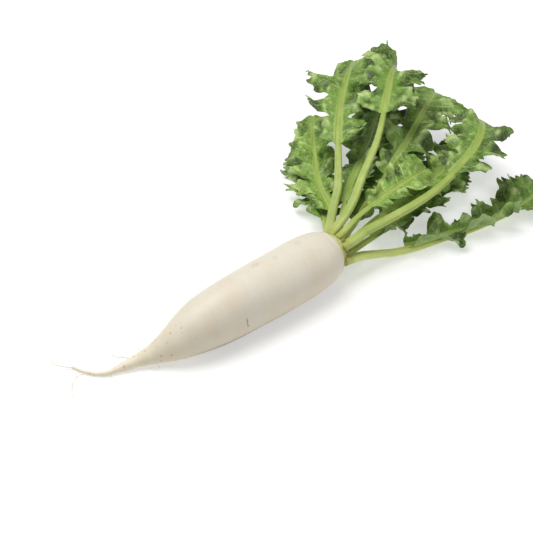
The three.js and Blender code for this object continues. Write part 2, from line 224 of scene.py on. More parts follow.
# Middle line and radius from the crown to the tail.
ROOT_STATIONS = [
    ((114.5, 1, 35), 19.5),
    ((111, 1, 35), 23.6),
    ((105, 1, 34.3), 27),
    ((94, 1, 33.6), 30.6),
    ((75, 1, 32.8), 32.5),
    ((45, 0, 32.2), 33),
    ((10, 0, 31.8), 32.6),
    ((-22, 0.5, 30.6), 31.3),
    ((-50, 1, 28.5), 29),
    ((-70, 2, 25.2), 25.2),
    ((-86, 4, 20.5), 20),
    ((-100, 8, 15.2), 14.5),
    ((-113, 13, 10.6), 10),
    ((-128, 18, 7.2), 6.6),
    ((-145, 22.5, 4.6), 4),
    ((-158, 26, 3.2), 2.7),
    ((-167, 33, 2.4), 2),
    ((-174, 43, 2.2), 1.5),
    ((-180, 56, 2), 1),
]
ROOT_AROUND, ROOT_ALONG = 96, 340  # quads
OVAL, THREE_SIDED = 0.012, 0.008  # how far its sections depart from a circle, as shares of the radius


def root_skin_points(shares, turns, grown=0.0):
    """Points on the root's skin, from the crown at share 0 to the tail at 1, grown outwards by a margin."""
    middles = [middle for middle, radius in ROOT_STATIONS]
    middle = smooth_line(middles, shares)
    forward = unit(smooth_line(middles, shares - 1e-4) - smooth_line(middles, shares + 1e-4))
    side = unit(np.cross([0, 0, 1], forward))
    up = np.cross(forward, side)
    along = 1 - shares
    swell = 1 + OVAL * np.sin(2 * turns + 9 * along) + THREE_SIDED * np.sin(3 * turns - 14 * along)
    radius = smooth_values([radius for middle, radius in ROOT_STATIONS], shares) * swell + grown
    radius = radius[:, None]
    points = middle - side * radius * np.cos(turns)[:, None] + up * radius * np.sin(turns)[:, None]
    points[:, 2] = np.maximum(points[:, 2], 0)
    return points


# The skin isn't quite even: broad dents and fine rings fade where the root is thin, and knobs where side
# rootlets sat are highest at one radius of the taper. Heights and widths are in millimetres.
DENT_HEIGHT, DENT_WIDTH = 0.4, 26
RING_HEIGHT, RING_WIDTH = 0.05, 3.2
FADE_RADIUS = 20
KNOB_HEIGHT, KNOB_WIDTH = 0.9, 8
KNOBBY_RADIUS, KNOBBY_SPREAD = 6, 5
root, root_turn, root_share = new_grid("root_body", ROOT_AROUND, ROOT_ALONG)
root_turn = root_turn * math.tau
skin = root_skin_points(root_share, root_turn)
root_radius = smooth_values([radius for middle, radius in ROOT_STATIONS], root_share)
dents = DENT_HEIGHT * relief(skin, DENT_WIDTH)
fine_rings = RING_HEIGHT * relief(skin * [1, 0.25, 0.25], RING_WIDTH, seed=1)
unevenness = (dents + fine_rings) * np.clip(root_radius / FADE_RADIUS, 0, 1)
knobby = np.exp(-(((root_radius - KNOBBY_RADIUS) / KNOBBY_SPREAD) ** 2))
knobs = KNOB_HEIGHT * relief(skin * [1, 0.5, 0.5], KNOB_WIDTH, seed=2) * knobby
shape(root, root_skin_points(root_share, root_turn, grown=unevenness + knobs))
close_tube()

# Rootlets that the tail ends in, each from inside it: middle line, and radius where it starts.
ROOTLETS = [
    ([(-170, 38, 2.4), (-183, 40, 3.4), (-193, 34, 2), (-200, 22, 1.2)], 0.7),
    ([(-178, 52, 2), (-186, 60, 3), (-192, 72, 2), (-190, 84, 1.2)], 0.65),
    ([(-130, 18, 7), (-134, 28, 8), (-140, 40, 4), (-138, 54, 1.4)], 0.75),
]


def grow_hair(name, path, radius, tip=0.35, around=8, along=36):
    """A thin round rootlet along a smooth line, which narrows to its tip."""
    hair, turn, share = new_grid(name, around, along)
    middle = smooth_line(path, share)
    forward = unit(smooth_line(path, share + 1e-4) - smooth_line(path, share - 1e-4))
    side = unit(np.cross([0, 0, 1], forward))
    up = np.cross(forward, side)
    wide = radius * (1 - (1 - tip) * share)[:, None]
    angle = turn[:, None] * math.tau
    points = middle + side * wide * np.cos(angle) + up * wide * np.sin(angle)
    points[:, 2] = np.maximum(points[:, 2], 0.02)
    shape(hair, points)
    close_tube()
    return hair


hairs = [grow_hair("rootlet", path, radius) for path, radius in ROOTLETS]

# Finer hairs along the taper and the tail: where each leaves the skin (share from the crown, turn round the
# root in degrees) and how long it is.
FINE_HAIRS = [
    (0.62, 200, 14),
    (0.66, 330, 18),
    (0.7, 150, 16),
    (0.74, 20, 20),
    (0.78, 215, 15),
    (0.82, 340, 17),
    (0.86, 170, 20),
    (0.9, 10, 16),
    (0.94, 190, 18),
    (0.97, 350, 14),
]
HAIR_RADIUS = 0.26
# A hair runs straight out of the skin, bends away to one side and droops to the floor.
for number, (share, turn, length) in enumerate(FINE_HAIRS):
    foot, past_foot = (
        root_skin_points(np.array([share]), np.array([math.radians(turn)]), grown=np.array([lift]))[0]
        for lift in (-0.6, 3)
    )
    outward = unit(past_foot - foot)
    bend = np.array([math.cos(2.1 * number), math.sin(2.1 * number), 0])
    path = [foot, foot + outward * length * 0.3, foot + outward * length * 0.5 + bend * length * 0.35]
    path.append(path[-1] + bend * length * 0.4 - outward * length * 0.1)
    path[2][2] = max(path[2][2] * 0.6, 0.4)
    path[3][2] = 0.3
    hairs.append(grow_hair("hair", [tuple(p) for p in path], HAIR_RADIUS, around=6, along=18))

bpy.ops.object.select_all(action="DESELECT")
for part in [*hairs, root]:
    part.select_set(True)
bpy.context.view_layer.objects.active = root
bpy.ops.object.join()

# Daikon skin, washed: thin, smooth and slightly waxy over watery flesh, so it is a warm creamy white, satin
# and soft in its shading, with rings that hardly show, brown flecks on the taper and a few rubbed blotches.
daikon_skin, skin_shader = new_material("washed_daikon_skin", {
    "Roughness": 0.45,
    "IOR": 1.4,
    "Subsurface Weight": 0.25,
    "Subsurface Scale": 5 * MM,
    "Subsurface Radius": (1.0, 0.75, 0.45),
})
place = add_node(daikon_skin, "ShaderNodeTexCoord", out="Object")
stretched = add_node(daikon_skin, "ShaderNodeMapping", {"Vector": place, "Scale": (1, 0.12, 0.12)})
clouds = add_node(daikon_skin, "ShaderNodeTexNoise", {"Vector": place, "Scale": 1 / (38 * MM), "Detail": 3})
rings = add_node(
    daikon_skin, "ShaderNodeTexNoise", {"Vector": stretched, "Scale": 1 / (3.5 * MM), "Detail": 4}
)
run = add_node(daikon_skin, "ShaderNodeSeparateXYZ", {0: place})

warm_patches = add_node(
    daikon_skin,
    "ShaderNodeMapRange",
    {"Value": clouds, "From Min": 0.35, "From Max": 0.7},
    interpolation_type="SMOOTHSTEP",
)
ring_lines = add_node(
    daikon_skin,
    "ShaderNodeMapRange",
    {"Value": rings, "From Min": 0.5, "From Max": 0.75, "To Max": 0.16},
    interpolation_type="SMOOTHSTEP",
)
# The skin turns drier and yellower down the taper, and green where the crown begins.
old_skin = add_node(
    daikon_skin,
    "ShaderNodeMapRange",
    {"Value": run, "From Min": -55 * MM, "From Max": -150 * MM, "To Max": 0.85},
    interpolation_type="SMOOTHSTEP",
)
green_end = add_node(
    daikon_skin,
    "ShaderNodeMapRange",
    {"Value": run, "From Min": 104 * MM, "From Max": 115 * MM, "To Max": 0.7},
    interpolation_type="SMOOTHSTEP",
)
# Flecks: a small scar 2 mm wide in some of the cells, where a side rootlet broke off, down the taper.
squeezed = add_node(daikon_skin, "ShaderNodeMapping", {"Vector": place, "Scale": (1.4, 0.8, 0.8)})
cells = add_node(
    daikon_skin, "ShaderNodeTexVoronoi", {"Vector": squeezed, "Scale": 1 / (5.5 * MM)}, out="Color"
)
chance = add_node(daikon_skin, "ShaderNodeSeparateColor", {0: cells})
chosen = add_node(daikon_skin, "ShaderNodeMapRange", {"Value": chance, "From Min": 0.5, "From Max": 0.65})
spot = add_node(
    daikon_skin,
    "ShaderNodeMapRange",
    {"Value": cells.node.outputs["Distance"], "From Min": 0.28, "From Max": 0.1, "To Max": 0.6},
)
on_taper = add_node(
    daikon_skin,
    "ShaderNodeMapRange",
    {"Value": run, "From Min": -66 * MM, "From Max": -98 * MM},
)
flecks = add_node(daikon_skin, "ShaderNodeMath", {0: spot, 1: chosen}, operation="MULTIPLY")
flecks = add_node(daikon_skin, "ShaderNodeMath", {0: flecks, 1: on_taper}, operation="MULTIPLY")

# Painted shade: the side towards the floor is painted browner and darker, for the shade that falls on it.
painted_low_side_shade = add_node(
    daikon_skin,
    "ShaderNodeMapRange",
    {"Value": run.node.outputs["Z"], "From Min": 36 * MM, "From Max": 1 * MM, "To Max": 0.7},
    interpolation_type="SMOOTHSTEP",
)
# Painted shade: right under its belly, along the line where it meets the floor, it is painted darkest.
painted_belly_shade = add_node(
    daikon_skin,
    "ShaderNodeMapRange",
    {"Value": run.node.outputs["Z"], "From Min": 18 * MM, "From Max": 10 * MM, "To Max": 0.9},
    interpolation_type="SMOOTHSTEP",
)
on_belly = add_node(
    daikon_skin, "ShaderNodeMapRange", {"Value": run, "From Min": -90 * MM, "From Max": -45 * MM}
)
painted_belly_shade = add_node(daikon_skin, "ShaderNodeMath", {0: painted_belly_shade, 1: on_belly}, operation="MULTIPLY")

skin_coats = [
    (warm_patches, "#d7ccb7"),
    # painted shade on the side towards the floor
    (painted_low_side_shade, "#c2b494"),
    # painted shade, darkest under the belly
    (painted_belly_shade, "#74684f"),
    (ring_lines, "#c3b69c"),
    (old_skin, "#ebe3cb"),
    (green_end, "#c4c690"),
    (flecks, "#a88550"),
]
# Rubbed blotches along the upper side, and one small upright nick: middle, half sizes, strength and colour.
SKIN_MARKS = [
    ((13.7, 7.1, 63.8), (7, 5, 6), 0.24, "#b99672"),
    ((35.6, 2, 65), (5, 5, 6), 0.18, "#b99672"),
    ((70, 6, 64.6), (6, 5, 6), 0.14, "#b99672"),
    ((-25.5, -29, 34.8), (1.0, 4, 6.6), 0.75, "#a07458"),
    ((-24.9, -28.6, 30), (2, 4, 2.2), 0.7, "#8a5d46"),
]
for middle, half, strength, colour in SKIN_MARKS:
    scale = [1 / (size * MM) for size in half]
    shift = [-at * MM * by for at, by in zip(middle, scale)]
    near = add_node(daikon_skin, "ShaderNodeMapping", {"Vector": place, "Location": shift, "Scale": scale})
    ragged = add_node(
        daikon_skin, "ShaderNodeTexNoise", {"Vector": place, "Scale": 1 / (2.2 * MM)}, out="Color"
    )
    ragged = add_node(
        daikon_skin, "ShaderNodeVectorMath", {0: ragged, 1: (0.5,) * 3}, operation="SUBTRACT"
    )
    near = add_node(
        daikon_skin, "ShaderNodeVectorMath", {0: ragged, 1: (1.6,) * 3, 2: near}, operation="MULTIPLY_ADD"
    )
    away = add_node(daikon_skin, "ShaderNodeVectorMath", {0: near}, out="Value", operation="LENGTH")
    mark = add_node(
        daikon_skin,
        "ShaderNodeMapRange",
        {"Value": away, "From Min": 1.1, "From Max": 0.3, "To Max": strength},
        interpolation_type="SMOOTHSTEP",
    )
    skin_coats.append((mark, colour))


def paint_in_coats(material, shader, base, coats):
    """Gives the shader a base colour under coats of others, each with the cover that says where it shows."""
    colour = paint(base)
    for cover, tint in coats:
        colour = add_node(
            material, "ShaderNodeMix", {0: cover, 6: colour, 7: paint(tint)}, out=2, data_type="RGBA"
        )
    material.node_tree.links.new(colour, shader["Base Color"])


paint_in_coats(daikon_skin, skin_shader, "#dbd4c4", skin_coats)

pores = add_node(daikon_skin, "ShaderNodeTexNoise", {"Vector": place, "Scale": 1 / (0.9 * MM), "Detail": 2})
height = add_node(daikon_skin, "ShaderNodeMath", {0: pores, 1: 0.3, 2: rings}, operation="MULTIPLY_ADD")
bump = add_node(daikon_skin, "ShaderNodeBump", {"Height": height, "Strength": 0.14, "Distance": 0.25 * MM})
daikon_skin.node_tree.links.new(bump, skin_shader["Normal"])
root.data.materials.append(daikon_skin)
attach(root, "root")
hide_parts("root")

# The crown: the short stem at the root's thick end that all leaves grow from, ringed with the scars of
# leaves that have dropped. It is the root's own flesh, green where the light reaches it.
CROWN_MIDDLE = (114.5, 1, 35)
# Radius and height above the root's end, from its foot to its top.
CROWN_PROFILE = [
    (0.05, 0.3),
    (18.8, 0.3),
    (19.4, 1.6),
    (18.2, 3),
    (18, 4.2),
    (16.2, 6),
    (15.4, 7.4),
    (11.5, 9.4),
    (6, 10.4),
    (0.05, 11),
]
CROWN_AROUND, CROWN_ALONG = 72, 72  # quads
crown, crown_turn, crown_share = new_grid("crown_stem", CROWN_AROUND, CROWN_ALONG)
station = crown_share * (len(CROWN_PROFILE) - 1)
radius = np.interp(station, range(len(CROWN_PROFILE)), [r for r, h in CROWN_PROFILE])
above = np.interp(station, range(len(CROWN_PROFILE)), [h for r, h in CROWN_PROFILE])
angle = crown_turn * math.tau
ring = np.stack([above, radius * np.cos(angle), radius * np.sin(angle)], axis=-1)
# Nine shallow puckers wind round it and fade towards its middle.
puckers = 1 - 0.02 * (1 + np.sin(9 * angle + 1.2 * above)) * np.clip(radius / 8, 0, 1)
ring[:, 1:] *= puckers[:, None]
shape(crown, ring + CROWN_MIDDLE)
close_tube()

# Crown skin: as smooth as the root's, but green from the light, with the dry brown edges of leaf scars.
crown_skin, crown_shader = new_material("daikon_crown_skin", {"Roughness": 0.5, "IOR": 1.4})
place = add_node(crown_skin, "ShaderNodeTexCoord", out="Object")
stretched = add_node(crown_skin, "ShaderNodeMapping", {"Vector": place, "Scale": (3, 1, 1)})
scars = add_node(crown_skin, "ShaderNodeTexNoise", {"Vector": stretched, "Scale": 1 / (4 * MM), "Detail": 5})
green = add_node(crown_skin, "ShaderNodeMapRange", {"Value": scars, "From Min": 0.35, "From Max": 0.6})
brown = add_node(
    crown_skin,
    "ShaderNodeMapRange",
    {"Value": scars, "From Min": 0.58, "From Max": 0.7, "To Max": 0.8},
)
paint_in_coats(crown_skin, crown_shader, "#c8cd86", [(green, "#a5b055"), (brown, "#7f6c3e")])
bump = add_node(crown_skin, "ShaderNodeBump", {"Height": scars, "Strength": 0.6, "Distance": 0.6 * MM})
crown_skin.node_tree.links.new(bump, crown_shader["Normal"])
crown.data.materials.append(crown_skin)
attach(crown, "root")
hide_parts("crown")

# The withered leaf bases: papery brown-green scraps of leaves that dropped, which still cling to the crown's
# side between the stalks. Each is a thin curled scale, rooted in the crown.
# Turn round the crown in degrees, length, and width.
SCRAPS = [(205, 13, 5), (250, 9, 4), (285, 12, 5), (320, 8, 4), (20, 10, 4), (120, 9, 5), (160, 11, 4)]
SCRAP_FOOT = 16.6  # how far from the crown's middle a scrap starts
SCRAP_THICKNESS = 0.45
scraps = []
for number, (turn, length, width) in enumerate(SCRAPS):
    # It narrows to its tip, leans out and back, sways to one side and is curled across.
    scrap, across, along = new_grid("scrap", 8, 12)
    across = (across - 0.5) * width * (1 - 0.75 * along**1.6)
    out = SCRAP_FOOT + 2.5 * np.sin(along * 2.4)
    rise = 2 + length * along
    tangent = across + 1.4 * along**2 * math.sin(2.3 * number)
    curl = 0.16 * across**2
    angle = math.radians(turn)
    outward = np.array([0, math.cos(angle), math.sin(angle)])
    sideways = np.array([0, -math.sin(angle), math.cos(angle)])
    points = np.outer(rise, [1, 0, 0]) + np.outer(out - curl, outward) + np.outer(tangent, sideways)
    points += 0.5 * np.outer(relief(points, 2.5, seed=number), outward)
    shape(scrap, points + CROWN_MIDDLE)
    thicken = scrap.modifiers.new("thickness", "SOLIDIFY")
    thicken.thickness = SCRAP_THICKNESS * MM
    thicken.offset = 0
    bpy.ops.object.modifier_apply(modifier="thickness")
    bpy.ops.object.shade_smooth()
    scraps.append(scrap)
for scrap in scraps:
    scrap.select_set(True)
bpy.context.view_layer.objects.active = scraps[0]
bpy.ops.object.join()
scraps = scraps[0]
scraps.name = "withered_leaf_bases"
# Withered leaf base: dried to a tough brown paper that still has some green in it, dull and finely wrinkled.
withered, withered_shader = new_material("withered_leaf_base", {"Roughness": 0.75})
place = add_node(withered, "ShaderNodeTexCoord", out="Object")
patches = add_node(withered, "ShaderNodeTexNoise", {"Vector": place, "Scale": 1 / (3 * MM), "Detail": 3})
dry = add_node(withered, "ShaderNodeMapRange", {"Value": patches, "From Min": 0.4, "From Max": 0.62})
paint_in_coats(withered, withered_shader, "#8f9448", [(dry, "#7a6238")])
bump = add_node(withered, "ShaderNodeBump", {"Height": patches, "Strength": 0.5, "Distance": 0.4 * MM})
withered.node_tree.links.new(bump, withered_shader["Normal"])
scraps.data.materials.append(withered)
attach(scraps, "root")


# The leaf stalks: crisp, pale and solid, half round below with fine ribs and channelled above. Each grows out
# of the crown and runs on as its leaf's midrib, ever thinner, to the tip.
STALK_FLARE, FLARE_FADE = 0.12, 8  # how much wider a foot is, as a share, and over how many mm that fades
STALK_THINNING, THINNING_POWER = 1.02, 1.3  # a power above 1 keeps most of the width up to the middle
THREAD_SHARE = 0.13  # the rib's least width, as a share of the stalk's
LINE_STEPS = 600  # that its length is measured in


class Midrib:
    """A leaf's middle line, from the crown to its tip, in millimetres."""

    def __init__(self, leaf):
        shares = np.linspace(0, 1, LINE_STEPS + 1)
        self.line = smooth_line(leaf["path"], shares)
        steps = np.linalg.norm(np.diff(self.line, axis=0), axis=1)
        self.run = np.concatenate([[0], np.cumsum(steps)])
        self.length = self.run[-1]
        self.ways = unit(np.gradient(self.line, self.run, axis=0))
        self.faces = leaf["faces"]
        self.base = leaf["stalk"]

    def at(self, distance):
        """Its middle at a distance from its base, and which ways are sideways and up there."""
        along = np.clip(distance, 0, self.length)
        middle = np.stack([np.interp(along, self.run, self.line[:, k]) for k in range(3)], axis=-1)
        forward = unit(np.stack([np.interp(along, self.run, self.ways[:, k]) for k in range(3)], axis=-1))
        middle += forward * (distance - along)[..., None]
        side = unit(np.cross(forward, smooth_line(self.faces, along / self.length)))
        return middle, side, np.cross(side, forward)

    def half_width(self, distance):
        """Half the stalk's width: broad at the crown, and a thread at the tip."""
        along = np.clip(distance / self.length, 0, 1)
        flare = 1 + STALK_FLARE * np.exp(-distance / FLARE_FADE)
        thinned = 1 - STALK_THINNING * along**THINNING_POWER
        return self.base * flare * np.maximum(THREAD_SHARE, thinned)


# Each leaf: its midrib's middle line from the crown to the tip, the way its upper side faces from the base
# to the tip, the stalk's half width, where its lowest leaflet sits as a share of its length, the end lobe's
# reach, how many pairs of side lobes it has, how its halves lift, in radians, and curl, in radians per mm,
# and what sets its waves apart from the others'.
LEAVES = [
    dict(
        name="leaf_1",
        path=[(118, -14, 28.8), (143, -16, 24), (165, -17, 16), (190, -22, 9), (217, -28, 5.6),
              (257, -36, 4.2), (290, -44, 3.5), (341, -50, 3), (385, -49, 4), (430, -44, 3)],
        faces=[(0, 0.3, 1), (0, 0.45, 1), (0, 0.2, 1)],
        stalk=7, bare=0.28, reach=36, pairs=4, lift=0.55, curl=-0.016, phase=0.4,
    ),
    dict(
        name="leaf_2",
        path=[(118, -10.3, 45.2), (135, -11, 47), (151, -10, 49.5), (168, -14, 54), (191, -22, 63),
              (205, -26, 68), (243, -27, 75), (292, -18, 82), (330, -4, 86), (362, 18, 84), (386, 44, 72),
              (396, 68, 52)],
        faces=[(-0.3, 0.4, 1), (-0.3, 0.2, 1), (0, -0.6, 1)],
        stalk=6.8, bare=0.47, reach=42, pairs=3, lift=0.15, curl=-0.024, phase=1.9,
    ),
    dict(
        name="leaf_3",
        path=[(120, -0.7, 51), (138, 3, 54), (159, 7, 58), (185, 9, 62), (216, 12, 64), (250, 17, 63),
              (280, 24, 57)],
        faces=[(-0.5, 0.1, 1), (-0.5, -0.2, 1), (-0.2, -0.25, 1)],
        stalk=3.8, bare=0.34, reach=28, pairs=3, lift=0.35, curl=-0.014, phase=3.1,
    ),
    dict(
        name="leaf_4",
        path=[(119, 10.7, 47.2), (134, 14, 52.5), (148, 17, 59), (163, 22, 68), (188, 36, 80), (232, 60, 98),
              (280, 97, 111), (325, 135, 112), (362, 165, 98), (387, 185, 73)],
        faces=[(-0.5, 0.2, 1), (-0.5, -0.1, 1), (-0.3, -0.8, 0.8)],
        stalk=5.6, bare=0.5, reach=46, pairs=2, lift=0.1, curl=-0.02, phase=4.4,
    ),
    dict(
        name="leaf_5",
        path=[(118, 16.1, 37.3), (133, 26, 43), (152, 42, 51), (173, 58, 60), (198, 86, 72), (227, 119, 84),
              (266, 157, 92), (320, 203, 88), (368, 243, 72)],
        faces=[(-0.3, -0.3, 1), (-0.4, -0.3, 1), (-0.6, -0.4, 0.8)],
        stalk=5.4, bare=0.38, reach=44, pairs=3, lift=0.12, curl=-0.018, phase=5.2,
    ),
    dict(
        name="leaf_6",
        path=[(118, -3.5, 20.7), (138, -2, 22), (166, 3, 19), (203, 11, 13), (244, 20, 8), (290, 30, 4),
              (340, 44, 3), (385, 62, 3)],
        faces=[(0, 0.1, 1), (0, 0, 1), (0, 0, 1)],
        stalk=4.4, bare=0.22, reach=28, pairs=4, lift=0.28, curl=-0.012, phase=0.9,
    ),
    dict(
        name="leaf_7",
        path=[(118, 14.6, 28.1), (133, 28, 28), (153, 55, 22), (176, 90, 14), (200, 128, 7), (225, 167, 4),
              (247, 206, 3)],
        faces=[(0, -0.2, 1), (0, 0, 1), (0, 0, 1)],
        stalk=4.6, bare=0.24, reach=36, pairs=4, lift=0.35, curl=-0.012, phase=2.6,
    ),
    dict(
        name="leaf_8",
        path=[(122, -2, 31.5), (140, 1, 34), (160, 4, 37), (187, 9, 39), (221, 13, 39), (267, 20, 37),
              (324, 36, 31), (385, 62, 24), (420, 80, 17)],
        faces=[(-0.3, 0, 1), (-0.3, -0.3, 1), (0, -0.3, 1)],
        stalk=3, bare=0.25, reach=30, pairs=4, lift=0.2, curl=-0.014, phase=3.7,
    ),
    dict(
        name="leaf_9",
        path=[(119, 7, 21), (142, 15, 23), (174, 33, 20), (214, 56, 13), (258, 80, 7), (304, 106, 4),
              (350, 134, 3), (388, 158, 3)],
        faces=[(0, 0, 1), (0, 0, 1), (0, 0, 1)],
        stalk=4.2, bare=0.22, reach=36, pairs=4, lift=0.27, curl=-0.012, phase=5.9,
    ),
    dict(
        name="leaf_10",
        path=[(121, -0.5, 40.5), (140, 5, 43), (162, 14, 45), (189, 28, 47), (220, 40, 51), (245, 51, 55),
              (291, 69, 65.5), (335, 91, 71.4), (394, 127, 61.5), (420, 144, 51)],
        faces=[(-0.2, 0, 1), (-0.4, -0.2, 1), (-0.4, -0.6, 0.8)],
        stalk=3.4, bare=0.37, reach=40, pairs=3, lift=0.15, curl=-0.02, phase=0.1,
    ),
    dict(
        name="leaf_11",
        path=[(121, 5.8, 36.5), (140, 17, 41), (163, 38, 45), (197, 63, 48), (239, 92, 46), (291, 130, 39.5),
              (345, 171, 36), (378, 196, 30)],
        faces=[(-0.2, 0, 1), (-0.3, 0.3, 1), (-0.1, 0.4, 1)],
        stalk=3.2, bare=0.2, reach=37, pairs=4, lift=0.15, curl=-0.018, phase=1.2,
    ),
    dict(
        name="leaf_12",
        path=[(121, 5, 29), (131, 14, 33), (143, 29, 34), (167, 63, 30), (185, 101, 30.5), (211, 140, 36),
              (245, 183, 38), (280, 223, 32)],
        faces=[(-0.2, 0, 1), (-0.2, -0.2, 1), (-0.4, -0.3, 1)],
        stalk=3, bare=0.25, reach=34, pairs=4, lift=0.2, curl=-0.018, phase=2.2,
    ),
]
STALK_REACH = 0.93  # the share of the leaf's length that its stalk and rib run along
STALK_FLATNESS = 0.78  # height over width
STALK_AROUND, STALK_ALONG = 60, 120  # quads
STALK_RIBS, RIB_HEIGHT = 15, 0.022  # the height as a share of the half width
# The channel above: its depth as a share of the half height, what it gains below the blade, and its width.
CHANNEL_DEPTH, DEPTH_GAIN, CHANNEL_WIDTH = 0.16, 0.14, 0.38
STALK_LIFT = 0.2  # the least height over the floor
STALK_PAINTED_LIGHT = {"leaf_1": 0.6}  # how much painted light a stalk gets, where it gets any

# Stalk skin: a crisp, watery green stem under a thin wax, so it is pale yellow-green and satin, with darker
# fine lines in the furrows between its ribs, paler near the crown and browner at its foot.
stalk_skin, stalk_shader = new_material("ribbed_daikon_stalk", {
    "Roughness": 0.42,
    "IOR": 1.4,
    "Subsurface Weight": 0.15,
    "Subsurface Scale": 2.5 * MM,
    "Subsurface Radius": (0.8, 1.0, 0.3),
})
straight = add_node(stalk_skin, "ShaderNodeAttribute", out="Vector", attribute_name="straight")
drawn_out = add_node(stalk_skin, "ShaderNodeMapping", {"Vector": straight, "Scale": (1, 1, 0.02)})
streaks = add_node(
    stalk_skin, "ShaderNodeTexNoise", {"Vector": drawn_out, "Scale": 1 / (1.3 * MM), "Detail": 3}
)
patches = add_node(
    stalk_skin, "ShaderNodeTexNoise", {"Vector": straight, "Scale": 1 / (22 * MM), "Detail": 3}
)
run = add_node(stalk_skin, "ShaderNodeSeparateXYZ", {0: straight}, out=2)
furrows = add_node(
    stalk_skin,
    "ShaderNodeMapRange",
    {"Value": streaks, "From Min": 0.38, "From Max": 0.68},
    interpolation_type="SMOOTHSTEP",
)
pale_patches = add_node(
    stalk_skin,
    "ShaderNodeMapRange",
    {"Value": patches, "From Min": 0.4, "From Max": 0.75, "To Max": 0.5},
    interpolation_type="SMOOTHSTEP",
)
deep_patches = add_node(
    stalk_skin,
    "ShaderNodeMapRange",
    {"Value": patches, "From Min": 0.5, "From Max": 0.3, "To Max": 0.5},
    interpolation_type="SMOOTHSTEP",
)
by_the_crown = add_node(
    stalk_skin,
    "ShaderNodeMapRange",
    {"Value": run, "From Min": 45 * MM, "From Max": 6 * MM, "To Max": 0.5},
    interpolation_type="SMOOTHSTEP",
)
# The scar of older skin round a stalk's foot, where it leaves the crown.
foot_scar = add_node(
    stalk_skin,
    "ShaderNodeMapRange",
    {"Value": run, "From Min": 13 * MM, "From Max": 5 * MM, "To Max": 0.6},
    interpolation_type="SMOOTHSTEP",
)
# Along the blade it is a little greener than below it.
in_the_blade = add_node(
    stalk_skin,
    "ShaderNodeMapRange",
    {"Value": run, "From Min": 60 * MM, "From Max": 260 * MM, "To Max": 0.55},
    interpolation_type="SMOOTHSTEP",
)
# Painted light: the lowest stalk, which lies in the shadow of the others, is painted paler, as if it were
# lit.
painted_light = add_node(stalk_skin, "ShaderNodeAttribute", out="Fac", attribute_name="painted_light")
paint_in_coats(stalk_skin, stalk_shader, "#a4b55e", [
    (furrows, "#8fa24c"),
    (deep_patches, "#879c4a"),
    (pale_patches, "#bac67c"),
    (in_the_blade, "#8ea450"),
    (by_the_crown, "#b4be6e"),
    # painted light on the lowest stalk
    (painted_light, "#dde68c"),
    (foot_scar, "#a2a050"),
])
bump = add_node(stalk_skin, "ShaderNodeBump", {"Height": streaks, "Strength": 0.5, "Distance": 0.35 * MM})
stalk_skin.node_tree.links.new(bump, stalk_shader["Normal"])


def keep_attribute(piece, name, kind, values):
    """Stores one vector or one value for each point, which the piece's material reads."""
    kept = piece.data.attributes.new(name, kind, "POINT")
    kept.data.foreach_set("value" if kind == "FLOAT" else "vector", np.asarray(values, np.float32).ravel())


for leaf in LEAVES:
    leaf["midrib"] = midrib = Midrib(leaf)
    stalk, turn, share = new_grid(leaf["name"] + "_ribbed_stalk", STALK_AROUND, STALK_ALONG)
    distance = share * STALK_REACH * midrib.length
    angle = -turn * math.tau
    middle, side, up = midrib.at(distance)
    wide = midrib.half_width(distance)
    before_blade = np.clip(1 - distance / (leaf["bare"] * midrib.length), 0, 1)
    depth = CHANNEL_DEPTH + DEPTH_GAIN * np.minimum(1, 4 * before_blade)
    channel = depth * np.exp(-((np.sin(angle / 2 - math.pi / 4) / CHANNEL_WIDTH) ** 2))
    ribs = 1 + RIB_HEIGHT * np.cos(STALK_RIBS * angle) * np.clip(wide / 2, 0, 1)
    across = wide * np.cos(angle) * ribs
    high = wide * STALK_FLATNESS * np.sin(angle) * ribs * (1 - channel)
    keep_attribute(stalk, "straight", "FLOAT_VECTOR", np.stack([across, high, distance], axis=-1) * MM)
    keep_attribute(stalk, "painted_light", "FLOAT", np.full(len(turn), STALK_PAINTED_LIGHT.get(leaf["name"], 0)))
    points = middle + side * across[:, None] + up * high[:, None]
    points[:, 2] = np.maximum(points[:, 2], STALK_LIFT)
    shape(stalk, points)
    close_tube()
    stalk.data.materials.append(stalk_skin)
    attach(stalk, "root")
    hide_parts(leaf["name"] + "_stalk")

# The leaf blades: thin green sheets cut into pairs of lobes, each larger than the one below, and one large
# lobe at the end. Every lobe is toothed, puckered between its veins and waved along its edge, and the two
# halves of the sheet grow out of the upper flanks of their midrib.
BLADE_THICKNESS = 0.45
CAD_THICKNESS = 0.8  # the solid's, which sets where it sits on the rib
TOUCHING_GAP = 0.3
RIB_WING = 0.7  # the blade beside the rib, at its narrowest
EDGE_WAVE, WAVE_STEP = 5.4, 6.5  # the edge's wave: its height, and its length divided by two pi
LOBE_LEAN = 0.4  # how far a low lobe leans towards the tip, as a share of its reach
END_LOBE_SHARE = 0.42  # the end lobe's length, as a share of the blade's
# The side lobes, from the lowest pair on, each with what the highest has more: the half length as a share of
# their spacing, the reach as a share of the leaf's, and the web above them as a share of their reach.
LOBE_FILL, FILL_GAIN = 0.43, 0.06
LOBE_SHARE, SHARE_GAIN = 0.42, 0.53
LOBE_WEB, WEB_GAIN = 0.1, 0.4
TIP_WEB = 0.08
BLADE_COLUMNS = 20  # quads from the rib to the edge
STRIP_COLUMNS = 4  # quads over the rib
ROW_STEP = 1.4  # about the distance between the rows of quads
SIDE_LOBE_EDGE = [(-1, 0.1), (-0.78, 0.7), (-0.42, 0.96), (-0.1, 0.84), (0.25, 1), (0.66, 0.8), (1, 0.1)]
END_LOBE_EDGE = [
    (-1, 0.1), (-0.92, 0.5), (-0.74, 0.94), (-0.52, 0.84), (-0.28, 1), (-0.04, 0.86),
    (0.18, 0.92), (0.42, 0.7), (0.64, 0.62), (0.84, 0.36), (1, 0.08),
]
# Where each lobe's main veins leave the midrib, as shares of its half length.
SIDE_LOBE_VEINS = [-0.2]
END_LOBE_VEINS = [-0.92, -0.52, -0.12, 0.28, 0.62]
VEIN_BEND = 0.3  # how far towards the tip a vein runs out, as a share of its lobe's half length


